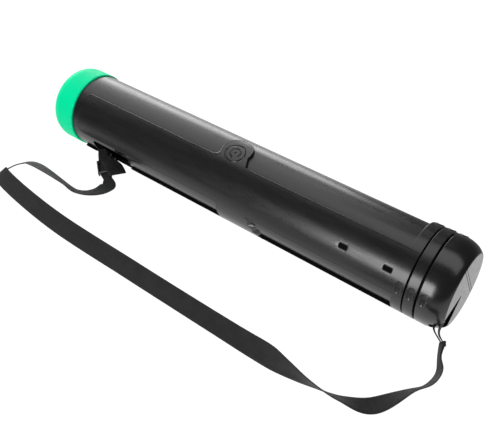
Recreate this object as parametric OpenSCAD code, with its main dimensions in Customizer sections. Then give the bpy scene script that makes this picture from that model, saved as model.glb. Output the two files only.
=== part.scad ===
// Telescopic drawing tube with a pull-off lid, a twist lock ring and a shoulder strap.
// The origin is the centre of the end cap's flat face. +X leaves that face along the
// tube's axis, +Z is up and -Y is the side that the strap lies on. Angles round the
// tube are counted from the strap rail, and grow upwards over the front of the tube.

/* [Tube] */
// Diameter over the collar, the side pads and the lock ring
collar_d = 110; // [106:1:116]
// Height of the side pads and the collar above the tube wall
pad_rise = 4; // [3.5:0.25:4.5]
// Thickness of the moulded walls
wall = 2.4; // [2:0.1:2.8]
// Length of the outer tube from the lid joint to the end of its collar
body_length = 529; // [500:1:640]
// Roll of the strap rail from straight down towards the front, in degrees
rail_roll = 43.5; // [40:0.5:47]

/* [Side pads] */
// Angle from the rail to a pad's lower edge
pad_low = 46.5; // [42:0.5:48]
// Angle from the rail to a pad's upper edge
pad_high = 109.5; // [100:0.5:112]
// Plain border of the tube beside the lid
border = 14; // [10:1:18]
// Distance between the two windows of a pad
window_pitch = 57; // [50:1:57]

/* [Inner tube] */
// Outer diameter of the sliding inner tube
inner_d = 88; // [84:0.5:88]
// Wall of the inner tube
inner_wall = 2; // [1.5:0.1:2.5]

/* [Ends] */
// Width of the collar band at the end of the outer tube
collar_w = 13.3; // [12:0.1:15]
// Width of the lock ring
ring_w = 12.6; // [12:0.1:14]
// Length of the end cap
cap_length = 32.2; // [32:0.1:34]
// Length of the lid that shows
lid_length = 49; // [46:1:60]
// Diameter of the lid
lid_d = 106; // [106:0.5:107]

/* [Strap] */
// Width of the webbing
webbing_w = 25; // [20:0.5:25]
// Thickness of the webbing
webbing_t = 1.6; // [1.2:0.1:1.8]
// Width of the webbing where it is gathered round the end cap's bar
gathered_w = 14; // [10:1:15]
// Distance from the tube's axis to the webbing's long run on the floor
long_run = 171; // [150:1:190]
// Distance from the tube's axis to the run that comes back beside the lid
back_run = 109; // [100:1:115]

/* [Hidden] */

$fn = 96;
eps = 0.05;                              // overlap between joined solids
slip = 0.05;                             // radial play of a turning or sliding fit
seat = 0.03;                             // gap between fixed neighbours

collar_r = collar_d / 2;
tube_r = collar_r - pad_rise;
bore_r = tube_r - wall;
inner_r = inner_d / 2;
lid_r = lid_d / 2;

// stations along the axis, from the end cap towards the lid
cap_x = -cap_length;                     // open edge of the end cap
ring_x1 = cap_x - 2.4;                   // lock ring, beyond a dividing groove
ring_x0 = ring_x1 - ring_w;
tube_x1 = ring_x0 - 1.8;                 // end of the outer tube's collar
collar_x0 = tube_x1 - collar_w;
tube_x0 = tube_x1 - body_length;         // lid joint
pad_x0 = tube_x0 + border;
lid_x0 = tube_x0 - lid_length;           // outer face of the lid

neck_x0 = tube_x0 - 18;                  // neck of the tube inside the lid
neck_r = lid_r - 3.4;
nose_x1 = ring_x1 - 2.2;                 // nose of the tube inside the lock ring
nose_r = bore_r + 1.5;
clip_x = ring_x0 + 5;
emblem_x = tube_x1 - 264;
emblem_angle = 129;
ring_angle = 122.4;                      // middle of the ring sunk in the boss

// end cap
cap_floor_x = -17;                       // inner end of the cap's strap pocket
shoulder_l = 24;                         // length of the rounded shoulder
shoulder_h = 11;                         // height of the rounded shoulder
pocket_w = 16;                           // width of the strap pocket and its holes
pocket_r0 = 7;                           // end of the pocket near the axis
bar_x0 = -10;                            // bar that the webbing goes round
bar_x1 = -4.5;
bar_r = 43;                              // side of the bar that faces the axis
pocket_x0 = -15;                         // depth of the pocket

// strap well in the outer tube, beside the lid
well_x0 = pad_x0 + 12;
well_x1 = well_x0 + 78;
well_r = tube_r - 6.5;                   // floor of the well
well_step = 8;                           // upper wall of the well round the pin
well_high = pad_low - 2.5;               // upper wall of the rest of the well
rail_half = 12;                          // half angle of the strap rail
pin_angle = -1;
pin_r = 2;
pin_axis_r = tube_r - 0.5;
pin_x1 = well_x0 + 27;

window_x = [tube_x1 - 25 - window_pitch, tube_x1 - 25];
window_angle = 75.5;
window_l = 10;
window_w = 4.7;

grip_angles = [60, 180, 300];            // oval grip bumps, three to a band
grip_rise = 1.3;

// climb of the webbing from the floor to the pin, in degrees
climb_yaw = 140;                         // heading, from +X towards +Y
climb_pitch = 15;                        // slope upwards
climb_lean = 10;                         // turn of the width from lying flat
slider_at = [well_x0 + 34, -52.5, -44.6];

// ---- helpers --------------------------------------------------------------

// Lays children that stand on +Z along the tube's axis, with local angle 0 at the rail
module along_tube() {
    rotate([-rail_roll, 0, 0]) rotate([0, 90, 0]) children();
}

// Ring from x0 to x1 about the local Z axis
module ring(x0, x1, r_in, r_out) {
    translate([0, 0, x0]) difference() {
        cylinder(h = x1 - x0, r = r_out);
        translate([0, 0, -1]) cylinder(h = x1 - x0 + 2, r = r_in);
    }
}

// Part of a ring between two angles counted from the rail
module sector(x0, x1, r_in, r_out, from, to) {
    rotate([0, 0, -to]) rotate_extrude(angle = to - from)
        translate([r_in, x0]) square([r_out - r_in, x1 - x0]);
}

// Places children that point along +X at an angle counted from the rail
module at_angle(angle) {
    rotate([0, 0, -angle]) children();
}

// Quarter ellipse from [r + height, x] to [r, x + length]
function shoulder(r, height, x, length, steps = 12) =
    [for (i = [0 : steps]) [r + height * cos(i * 90 / steps), x + length * sin(i * 90 / steps)]];

// Barrel whose rounded top stands out of a band as an oval bump
module grip_barrel(x, width) {
    barrel_r = 20;
    half = width * 0.37;
    profile = [for (i = [-6 : 6]) [barrel_r - (grip_rise + 0.4) * pow(i / 6, 2), half * i / 6]];
    translate([collar_r + grip_rise - barrel_r, 0, x])
        rotate_extrude() polygon(concat([[0, -half]], profile, [[0, half]]));
}

// The three grip bumps of a band
module grips(x, width) {
    for (angle = grip_angles) at_angle(angle) intersection() {
        grip_barrel(x, width);
        ring(x - width, x + width, collar_r - 1, collar_r + 2 * grip_rise);
    }
}

// ---- outer tube -----------------------------------------------------------

// A raised side pad, hollow behind its skin
module pad_shell(from, to) {
    sector(pad_x0, collar_x0 + eps, bore_r, collar_r, from, to);
}

module pad_hollow(from, to) {
    side = 2.8;
    sector(pad_x0 + wall, collar_x0 - wall, bore_r - 1, collar_r - wall, from + side, to - side);
}

// Round boss above the upper edge of the front pad, with a plain ring sunk in it
module emblem_boss() {
    at_angle(emblem_angle) intersection() {
        translate([0, 0, emblem_x]) rotate([0, 90, 0]) cylinder(h = collar_r + 2, r = 23);
        ring(emblem_x - 30, emblem_x + 30, bore_r + 1, collar_r);
    }
}

module emblem_groove() {
    depth = 0.6;
    at_angle(ring_angle) intersection() {
        translate([0, 0, emblem_x + 1.2]) rotate([0, 90, 0]) ring(0, collar_r + 2, 12.8, 14);
        ring(emblem_x - 30, emblem_x + 30, collar_r - depth, collar_r + 1);
    }
}

module windows(angle, grow, r_in, r_out) {
    for (x = window_x) at_angle(angle)
        translate([r_in, -window_w / 2 - grow, x - window_l / 2 - grow])
            cube([r_out - r_in, window_w + 2 * grow, window_l + 2 * grow]);
}

module outer_tube() {
    color("#1c1d1f") along_tube() difference() {
        union() {
            ring(tube_x0, tube_x1, bore_r, tube_r);
            ring(neck_x0, tube_x0 + wall, neck_r - wall, neck_r);
            ring(tube_x0, tube_x0 + wall, neck_r - wall, tube_r);
            ring(collar_x0, tube_x1, bore_r, collar_r);
            ring(tube_x1 - eps, nose_x1, bore_r, nose_r);
            grips((collar_x0 + tube_x1) / 2, collar_w);
            pad_shell(pad_low, pad_high);
            pad_shell(-pad_high, -pad_low);
            emblem_boss();
            sector(well_x0 - wall, well_x1 + wall, well_r - wall, bore_r + eps,
                   -rail_half - 3, well_high + 2);
        }
        pad_hollow(pad_low, pad_high);
        pad_hollow(-pad_high, -pad_low);
        sector(well_x0, well_x0 + 12, well_r + 0.5, collar_r + 2, 0.5 - rail_half, well_step);
        sector(well_x0 + 11, well_x1, well_r, collar_r + 2, -rail_half, well_high);
        windows(window_angle, 0, bore_r - 1, collar_r + 2);
        windows(-window_angle, 0, bore_r - 1, collar_r + 2);
        ring(clip_x - 0.7, clip_x + 0.7, nose_r - 0.6, nose_r + 1);
        emblem_groove();
    }
}

// Moulded rail under the front of the tube. It stops the tube rolling and holds the pin.
module strap_rail() {
    rail_in = tube_r + seat;
    sill = -7;                           // lower edge of the opening over the well
    ear_low = 1.2 - rail_half;           // keeps the ears off the well's side wall
    ear_in = tube_r - 4;
    color("#111113") along_tube() difference() {
        union() {
            difference() {
                sector(pad_x0, collar_x0 - 0.5, rail_in, collar_r, -rail_half, rail_half);
                sector(well_x0 + 2.4, well_x1, rail_in - 1, collar_r + 1, sill, rail_half + 1);
            }
            sector(well_x0 + 0.2, well_x0 + 2.6, ear_in, collar_r - 0.4, ear_low, 5);
            sector(pin_x1 - 4, pin_x1, ear_in, collar_r - 1.6, ear_low, 4);
        }
        at_angle(pin_angle) translate([pin_axis_r, 0, well_x0 - 1])
            cylinder(h = pin_x1 - well_x0 + 3, r = pin_r + seat);
    }
}

// Steel pin in the well, which the webbing goes round
module rail_pin() {
    color("#9a9da1") along_tube() at_angle(pin_angle)
        translate([pin_axis_r, 0, well_x0 + 0.3]) cylinder(h = pin_x1 - well_x0 - 0.3, r = pin_r);
}

// ---- guide and lock -------------------------------------------------------

sleeve_x0 = window_x[0] - window_l / 2 - 2;
sleeve_x1 = tube_x1 - 4;

// Plain bearing in the outer tube's mouth. Its tabs snap into the pads' windows.
module guide_sleeve() {
    tab_r = collar_r - 1.8;
    color("#2a2b2e") along_tube() {
        ring(sleeve_x0, sleeve_x1, inner_r + slip, bore_r - seat);
        for (side = [-1, 1]) windows(side * window_angle, -0.15, bore_r - 1, tab_r);
    }
}

// Split ring that the lock ring squeezes onto the inner tube
module clamp_collet() {
    slots = 6;
    slot_w = 2;
    color("#3a3b3d") along_tube() difference() {
        union() {
            ring(sleeve_x1 + 0.3, nose_x1 + 0.2, inner_r + slip, bore_r - seat - 0.3);
            ring(nose_x1 + 0.1, nose_x1 + 0.9, inner_r + slip, bore_r + 0.6);
        }
        for (i = [0 : slots - 1]) rotate([0, 0, i * 360 / slots + 15])
            translate([inner_r - 2, -slot_w / 2, sleeve_x1 + 4]) cube([10, slot_w, 40]);
    }
}

// Twist ring on the outer tube's nose
module lock_ring() {
    bore = nose_r + slip;
    color("#18191b") along_tube() {
        difference() {
            union() {
                ring(ring_x0, nose_x1 + 1.2, bore, collar_r);
                ring(nose_x1 + 1.1, ring_x1, inner_r + 0.4, collar_r);
            }
            ring(clip_x - 0.9, clip_x + 0.9, bore - 1, bore + 0.9);
        }
        grips((ring_x0 + ring_x1) / 2, ring_w);
    }
}

// Spring clip that keeps the lock ring on the nose
module ring_clip() {
    gap = 14;
    color("#b4b6b9") along_tube()
        sector(clip_x - 0.6, clip_x + 0.6, nose_r - 0.55, nose_r + 0.7, gap, 360 - gap);
}

// ---- inner tube -----------------------------------------------------------

inner_x0 = well_x1 + 5;
inner_x1 = cap_floor_x - 0.3;

// Sliding tube
module inner_tube() {
    color("#232426") along_tube() ring(inner_x0, inner_x1, inner_r - inner_wall, inner_r);
}

// Ring on the inner tube's far end, which slides in the bore and stops on the sleeve
module stop_ring() {
    color("#3d3f42") along_tube()
        ring(inner_x0 + 1, inner_x0 + 19, inner_r + seat, bore_r - slip - 0.05);
}

// ---- end cap --------------------------------------------------------------

// Outline of the cap and of its inside, each from the open edge to the axis
cap_outer = concat([[0, cap_x], [collar_r, cap_x]],
                   shoulder(collar_r - shoulder_h, shoulder_h, -shoulder_l, shoulder_l),
                   [[0, 0]]);
cap_inner = concat([[0, cap_x - 1], [collar_r - wall, cap_x - 1]],
                   shoulder(collar_r - shoulder_h - wall, shoulder_h,
                            -shoulder_l, shoulder_l - wall),
                   [[0, -wall]]);

module end_cap() {
    web = 1.6;
    cheek = 2.2;
    reach = collar_r + 5;
    color("#141517") along_tube() difference() {
        union() {
            difference() {
                rotate_extrude() polygon(cap_outer);
                rotate_extrude() polygon(cap_inner);
            }
            ring(cap_floor_x - web, cap_floor_x, inner_r + seat, collar_r - wall + eps);
            ring(cap_x + 1, cap_floor_x, inner_r + seat, inner_r + 2.5);
            intersection() {
                rotate_extrude() polygon(cap_outer);
                translate([pocket_r0 - cheek, -pocket_w / 2 - cheek, cap_floor_x + 0.3])
                    cube([collar_r, pocket_w + 2 * cheek, -cap_floor_x]);
            }
            grips((cap_x * 2 + ring_w) / 2, ring_w);
        }
        translate([pocket_r0, -pocket_w / 2, pocket_x0])
            cube([bar_r - pocket_r0, pocket_w, -pocket_x0 + 1]);
        translate([bar_r - eps, -pocket_w / 2, bar_x1]) cube([reach, pocket_w, -bar_x1 + 1]);
        translate([bar_r - eps, -pocket_w / 2, pocket_x0])
            cube([reach, pocket_w, bar_x0 - pocket_x0]);
        for (offset = [-9, -12.5])
            translate([offset - 0.5, -reach, -0.6]) cube([1, 2 * reach, 2]);
    }
}

// Disc that closes the inner tube
module end_disc() {
    color("#26272a") along_tube() translate([0, 0, inner_x1 - 3])
        cylinder(h = 2.4, r = inner_r - inner_wall - seat);
}

// Foam disc that the drawings rest on
module end_pad() {
    color("#4a4b4d") along_tube() translate([0, 0, inner_x1 - 6.1])
        cylinder(h = 3, r = inner_r - inner_wall - 1);
}

// ---- lid ------------------------------------------------------------------

lid_wall = 2.2;
lid_round_l = 23;
lid_round_h = 25;
lid_outer = [for (p = shoulder(lid_r - lid_round_h, lid_round_h, 0, lid_round_l))
    [p[0], lid_x0 + lid_round_l - p[1]]];
lid_inner = [for (p = shoulder(lid_r - lid_round_h - lid_wall, lid_round_h, 0,
                               lid_round_l - lid_wall))
    [p[0], lid_x0 + lid_round_l - p[1]]];

module lid() {
    color("#12e39a") along_tube() {
        rotate_extrude() difference() {
            polygon(concat([[0, tube_x0 - 0.3], [lid_r, tube_x0 - 0.3]], lid_outer,
                           [[0, lid_x0]]));
            polygon(concat([[0, tube_x0 + 1], [neck_r + 0.1, tube_x0 + 1],
                            [neck_r + 0.1, neck_x0 - 2.1], [lid_r - lid_wall, neck_x0 - 2.1]],
                           lid_inner, [[0, lid_x0 + lid_wall]]));
        }
        ring(neck_x0 - 4, neck_x0 - 2, neck_r - 6, lid_r - lid_wall + eps);
    }
}

// Flat gasket that the end of the neck presses on
module lid_gasket() {
    color("#5a5d60") along_tube() ring(neck_x0 - 1.9, neck_x0 - 0.3, neck_r - 4, neck_r - 0.2);
}

// Foam disc inside the lid
module lid_pad() {
    color("#4a4b4d") along_tube() translate([0, 0, lid_x0 + lid_wall + 0.1])
        cylinder(h = 4, r = lid_r - lid_round_h - lid_wall - 1);
}

// ---- strap ----------------------------------------------------------------

// Direction with a heading in the floor's plane and a slope
function toward(yaw, pitch) = [cos(pitch) * cos(yaw), cos(pitch) * sin(yaw), sin(pitch)];
function unit(v) = v / norm(v);

// Width direction of webbing that travels along t, turned by lean from lying flat
function width_at(t, lean) = let (level = unit(cross(t, [0, 0, 1])))
    cos(lean) * level + sin(lean) * cross(level, t);

climb = toward(climb_yaw, climb_pitch);
climb_across = width_at(climb, climb_lean);
climb_out = cross(climb_across, climb);

// The webbing's line in the floor's plane is made of arcs and straight runs. Each knot
// holds x, y, the lean of its width, and its lift off the floor. Its height follows from
// them, because it rests on its lower edge.
function arc_knots(centre, r, from, to, lean_from, lean_to, lift = 0, count = 4) =
    [for (i = [0 : count - 1]) let (k = i / (count - 1), a = from + k * (to - from))
        [centre[0] + r * cos(a), centre[1] + r * sin(a),
         lean_from + k * (lean_to - lean_from), lift]];

// It leaves the end cap's bar, bulges out on its edge, and turns over on a wide sweep
sweep_r = 100;
sweep_low = -long_run - 10;
drop_knots = concat([[5, -47, 130, 3]], arc_knots([-20, -92], 40, 40, -50, 105, 130));
sweep_knots = arc_knots([-80, sweep_low + sweep_r], sweep_r, -52, -90, 165, 110, 1, 3);
// Along the floor it lies nearly flat
run_knots = [[-115, sweep_low + 1, 75, 0], [-150, sweep_low + 5, 35, 0],
             [-200, sweep_low + 7, 16, 0], [-350, -long_run - 2, 18, 0],
             [well_x0 + 56, -long_run - 1, 35, 0]];
// Beside the lid it goes round a bend, comes back along the tube, and curls up
bend_r = 27;
curl_r = 32;
curl_lean = 0;
bend_knots = arc_knots([lid_x0 + 28, -back_run - bend_r], bend_r, 230, 100, 42, 32, 1);
curl_knots = arc_knots([well_x0 + 29, -84], curl_r, -105, 20, 48, curl_lean, 1, 5);
knots = concat(drop_knots, sweep_knots, run_knots, bend_knots, curl_knots);

function knot_place(k) =
    [k[0], k[1], webbing_t / 2 - collar_r + 0.4 + k[3] + webbing_w / 2 * abs(sin(k[2]))];

// Smooth curve through the knots, from b to c as t goes from 0 to 1
function spline(a, b, c, d, t) =
    (2 * b + (c - a) * t + (2 * a - 5 * b + 4 * c - d) * t * t
     + (3 * b - a - 3 * c + d) * t * t * t) / 2;

knot_steps = 5;
knot_last = len(knots) - 1;
line = [for (i = [0 : knot_last - 1], k = [0 : knot_steps - 1])
    spline(knots[max(i - 1, 0)], knots[i], knots[i + 1], knots[min(i + 2, knot_last)],
           k / knot_steps)];
line_at = [for (k = line) knot_place(k)];
line_end = len(line) - 1;

// Middle points, width directions and widths, from the end cap to the rail pin. The end
// is folded narrow, lies along the pin, and stops inside the loop round it.
folded_w = 12;
pin_at = [well_x0 + 10.5, -pin_axis_r * sin(rail_roll + pin_angle),
          -pin_axis_r * cos(rail_roll + pin_angle)];
approach = unit([0, climb[1], climb[2]]);
run = concat(
    [for (i = [0 : line_end])
        [line_at[i], width_at(unit(line_at[min(i + 1, line_end)] - line_at[max(i - 1, 0)]),
                              line[i][2]), webbing_w]],
    [for (s = [-12, 0, 9]) [slider_at + s * climb, climb_across, webbing_w]],
    [[slider_at + 13 * climb, climb_across, folded_w + 4],
     [pin_at - (pin_r + 1) * approach, [1, 0, 0], folded_w]]);

function corners(p, side, out, width) = let (w = width / 2, h = webbing_t / 2)
    [p - w * side - h * out, p + w * side - h * out, p + w * side + h * out, p - w * side + h * out];

strap_points = [for (i = [0 : len(run) - 1])
    let (t = run[min(i + 1, len(run) - 1)][0] - run[max(i - 1, 0)][0],
         side = run[i][1], out = unit(cross(side, t)))
    each corners(run[i][0], side, out, run[i][2])];

strap_faces = concat(
    [[0, 2, 1], [0, 3, 2]],
    [for (i = [0 : len(run) - 2], k = [0 : 3]) let (a = 4 * i + k, b = 4 * i + (k + 1) % 4)
        each [[a, b, a + 4], [b, b + 4, a + 4]]],
    let (n = 4 * (len(run) - 1)) [[n, n + 1, n + 2], [n, n + 2, n + 3]]);

// Webbing round the end cap's bar, in the plane of the axis and the rail
module cap_loop() {
    t = webbing_t - 0.2;
    gap = 0.4;
    low = bar_x0 - gap;
    high = bar_x1 + gap;
    inside = bar_r - gap;
    mouth = collar_r - 1.5;
    rotate([90, 0, 0]) linear_extrude(height = gathered_w, center = true) difference() {
        polygon([[inside - t, low - t], [inside - t, high + t], [mouth - 1, high + t],
                 [mouth + 9.5, 9], [mouth + 11, 4], [mouth + 1.5, low - t]]);
        polygon([[inside, low], [inside, high], [mouth, high], [mouth + 7, 3],
                 [mouth + 0.8, low]]);
    }
}

module strap() {
    color("#1f1f20") {
        polyhedron(strap_points, strap_faces, convexity = 10);
        along_tube() cap_loop();
        along_tube() at_angle(pin_angle) translate([pin_axis_r, 0, 0])
            ring(well_x0 + 3.5, well_x0 + 17.5, pin_r + 0.4, pin_r + 0.4 + webbing_t);
    }
}

// Three-bar slider. The webbing passes over its middle bar and under its end bars.
module strap_slider() {
    length = 24;
    width = webbing_w + 8;
    rail = 3;
    bar = 4;
    gap = webbing_t / 2 + 0.4;
    thick = 1.8;
    a = -climb;
    c = climb_across;
    n = climb_out;
    color("#0e0e0f")
        multmatrix([[a[0], c[0], n[0], slider_at[0]], [a[1], c[1], n[1], slider_at[1]],
                    [a[2], c[2], n[2], slider_at[2]], [0, 0, 0, 1]]) {
            for (side = [-1, 1]) translate([-length / 2, side * (width - rail) / 2 - rail / 2,
                                            -gap - thick])
                cube([length, rail, 2 * (gap + thick)]);
            for (end = [-1, 1]) translate([end * (length - bar) / 2 - bar / 2,
                                           -width / 2 + 1, gap])
                cube([bar, width - 2, thick]);
            translate([-bar / 2, -width / 2 + 1, -gap - thick]) cube([bar, width - 2, thick]);
        }
}

outer_tube();
strap_rail();
rail_pin();
guide_sleeve();
clamp_collet();
lock_ring();
ring_clip();
inner_tube();
stop_ring();
end_cap();
end_disc();
end_pad();
lid();
lid_gasket();
lid_pad();
strap();
strap_slider();
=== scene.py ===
"""Looks of a telescopic drawing tube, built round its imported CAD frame.

Units are metres. +X runs along the tube's axis, out of the end cap's flat face, and +Z
is up. Angles round the tube are counted from the strap rail, and grow upwards over the
front of the tube. Lengths below are written in millimetres times MM.
"""

import math

import bmesh
import bpy
import numpy as np
from mathutils import Matrix, Vector


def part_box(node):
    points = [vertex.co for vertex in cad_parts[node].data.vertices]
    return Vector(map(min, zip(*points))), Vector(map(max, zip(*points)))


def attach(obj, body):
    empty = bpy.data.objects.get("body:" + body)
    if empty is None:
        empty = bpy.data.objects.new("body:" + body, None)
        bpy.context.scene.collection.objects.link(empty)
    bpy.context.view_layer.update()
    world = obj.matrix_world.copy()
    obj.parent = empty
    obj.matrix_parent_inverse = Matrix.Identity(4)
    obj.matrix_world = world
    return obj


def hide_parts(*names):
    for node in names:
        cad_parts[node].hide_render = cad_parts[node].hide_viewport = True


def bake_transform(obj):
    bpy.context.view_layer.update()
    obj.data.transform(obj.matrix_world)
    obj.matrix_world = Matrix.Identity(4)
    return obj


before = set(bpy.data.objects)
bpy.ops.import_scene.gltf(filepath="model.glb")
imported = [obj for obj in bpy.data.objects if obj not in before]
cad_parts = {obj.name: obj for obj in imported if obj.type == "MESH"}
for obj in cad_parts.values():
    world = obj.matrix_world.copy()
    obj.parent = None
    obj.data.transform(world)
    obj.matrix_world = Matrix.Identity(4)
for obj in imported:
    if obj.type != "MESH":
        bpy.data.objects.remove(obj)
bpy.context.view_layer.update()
MM = 0.001

# ---- sizes and stations, from the frame ------------------------------------------------

tube_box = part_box("outer_tube")
ring_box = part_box("lock_ring")
cap_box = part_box("end_cap")
lid_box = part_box("lid")
rail_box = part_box("strap_rail")
inner_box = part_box("inner_tube")

COLLAR_R = -tube_box[0].z                # floor contact, over the collar
TUBE_R = COLLAR_R - 4 * MM
TUBE_WALL = 2.4 * MM
BORE_R = TUBE_R - TUBE_WALL
INNER_R = inner_box[1].z
LID_R = lid_box[1].z
RAIL_ROLL = math.radians(43.5)

RING_X1, RING_X0 = ring_box[1].x, ring_box[0].x
CAP_X = cap_box[0].x
TUBE_X1 = RING_X0 - 1.8 * MM
COLLAR_X0 = TUBE_X1 - 13.3 * MM
TUBE_X0 = lid_box[1].x + 0.3 * MM
LID_X0 = lid_box[0].x
PAD_X0 = rail_box[0].x
NECK_X0 = tube_box[0].x
NECK_R = LID_R - 3.4 * MM
NOSE_X1 = tube_box[1].x
NOSE_R = BORE_R + 1.5 * MM
WELL_X0 = PAD_X0 + 12 * MM
WELL_X1 = WELL_X0 + 78 * MM
WELL_R = TUBE_R - 6.5 * MM
EMBLEM_X = TUBE_X1 - 264 * MM

PAD_LOW, PAD_HIGH = math.radians(46.5), math.radians(109.5)
EMBLEM_ANGLE = math.radians(129)
WINDOW_ANGLE = math.radians(75.5)
WINDOW_X = (TUBE_X1 - 82 * MM, TUBE_X1 - 25 * MM)
GRIP_ANGLES = [math.radians(a) for a in (60, 180, 300)]
PIN_ANGLE = math.radians(-1)
PIN_AXIS_R = TUBE_R - 0.5 * MM
PIN_R = 2 * MM
PIN_X1 = WELL_X0 + 27 * MM

# ---- numbers and shapes ----------------------------------------------------------------


def smooth(t):
    """0 to 1 along an S-curve as t goes from 0 to 1."""
    t = np.clip(t, 0, 1)
    return t * t * (3 - 2 * t)


def round_box(u, v, half_u, half_v, corner):
    """Distance to a rounded rectangle, below zero inside it."""
    qu, qv = np.abs(u) - half_u + corner, np.abs(v) - half_v + corner
    outside = np.hypot(np.maximum(qu, 0), np.maximum(qv, 0))
    return outside + np.minimum(np.maximum(qu, qv), 0) - corner


def soft_union(a, b, k):
    """The smaller of two distances, with the corner between them filled to about k."""
    h = np.clip(0.5 + 0.5 * (b - a) / k, 0, 1)
    return b * (1 - h) + a * h - k * h * (1 - h)


def turn_gap(theta, centre):
    """Signed angle from centre to theta, the short way round."""
    return (theta - centre + math.pi) % (2 * math.pi) - math.pi


def around(x, r, theta):
    """Points of the part's frame at station x, radius r and an angle from the rail."""
    x, r, angle = np.broadcast_arrays(x, r, theta + RAIL_ROLL)
    return np.stack([x, -r * np.sin(angle), -r * np.cos(angle)], -1)


def lines(stops):
    """Sorted grid lines from (from, to, step) stretches, without near doubles."""
    values = [np.arange(a, b, s) for a, b, s in stops]
    values = np.unique(np.round(np.concatenate(values), 7))
    keep = np.concatenate([[True], np.diff(values) > 0.04 * MM])
    return values[keep]


# ---- mesh building ---------------------------------------------------------------------


def new_object(name, data):
    """A new object in the scene."""
    item = bpy.data.objects.new(name, data)
    bpy.context.scene.collection.objects.link(item)
    return item


def assign(piece, body, node=None):
    """Puts a piece on a body, and hides the node it stands for, if one is given."""
    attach(piece, body)
    if node:
        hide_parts(node)


def add_mesh(name, points, faces, material, sharp=32):
    """A finished piece from points and faces."""
    mesh = bpy.data.meshes.new(name)
    mesh.from_pydata([tuple(p) for p in points], [], faces)
    mesh.validate()
    piece = new_object(name, mesh)
    mesh.materials.append(material)
    finish_mesh(piece, sharp)
    return piece


def finish_mesh(piece, sharp=32):
    """Outward normals, smooth faces, and sharp edges above an angle."""
    work = bmesh.new()
    work.from_mesh(piece.data)
    bmesh.ops.recalc_face_normals(work, faces=work.faces)
    work.to_mesh(piece.data)
    work.free()
    piece.data.shade_smooth()
    piece.data.set_sharp_from_angle(angle=math.radians(sharp))


def grid_faces(rows, columns, wrap_rows, wrap_columns):
    """Quads of a grid whose rows and columns may close on themselves."""
    faces = []
    for i in range(rows if wrap_rows else rows - 1):
        for j in range(columns if wrap_columns else columns - 1):
            a, b = i * columns + j, i * columns + (j + 1) % columns
            k = (i + 1) % rows
            c, d = k * columns + (j + 1) % columns, k * columns + j
            faces.append((a, b, c, d))
    return faces


def grid_piece(name, grid, material, wrap_rows=False, wrap_columns=False, caps=False, sharp=32):
    """A piece from a grid of points shaped (rows, columns, 3)."""
    rows, columns = grid.shape[:2]
    faces = grid_faces(rows, columns, wrap_rows, wrap_columns)
    if caps:
        faces.append(tuple(range(columns)))
        faces.append(tuple((rows - 1) * columns + j for j in range(columns)))
    return add_mesh(name, grid.reshape(-1, 3), faces, material, sharp)


def arc(centre, r, start, end, count):
    """Points of an arc in the plane, angles in degrees."""
    t = np.radians(np.linspace(start, end, count))
    return np.stack([centre[0] + r * np.cos(t), centre[1] + r * np.sin(t)], -1)


def turned(name, outline, material, thetas=None, shift=None):
    """A closed outline of (x, r) points turned about the tube's axis. With shift, each
    point also has a share, and moves outwards by that share of shift(x, theta)."""
    thetas = np.linspace(0, 2 * math.pi, 240, endpoint=False) if thetas is None else thetas
    outline = np.array(outline, float)
    x, r = outline[:, :1], outline[:, 1:2]
    theta = thetas[None, :]
    if shift is not None:
        r = r + shift(x + 0 * theta, theta + 0 * x) * outline[:, 2:3]
    return grid_piece(name, around(x, r, theta), material, True, True)


def mark_recess(piece, skin):
    """Marks the faces that lie deeper than the skin's radius at their station. The moulded
    materials take nearly all their gloss away there, as painted shade.
    """
    slack, fade = 0.3 * MM, 0.8 * MM
    places = np.array([f.center for f in piece.data.polygons])
    r = np.hypot(places[:, 1], places[:, 2])
    marks = smooth((skin(places[:, 0]) - slack - r) / fade)
    piece.data.attributes.new("recess", "FLOAT", "FACE").data.foreach_set("value", marks)


def modify(piece, kind, **settings):
    """Adds a modifier, with its settings given by name."""
    modifier = piece.modifiers.new(kind.lower(), kind)
    for key, value in settings.items():
        setattr(modifier, key, value)


def apply_modifiers(piece):
    """Turns the modified shape into the piece's own mesh."""
    graph = bpy.context.evaluated_depsgraph_get()
    graph.update()
    mesh = bpy.data.meshes.new_from_object(piece.evaluated_get(graph))
    piece.modifiers.clear()
    piece.data = mesh
    finish_mesh(piece)


# ---- materials -------------------------------------------------------------------------


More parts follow.
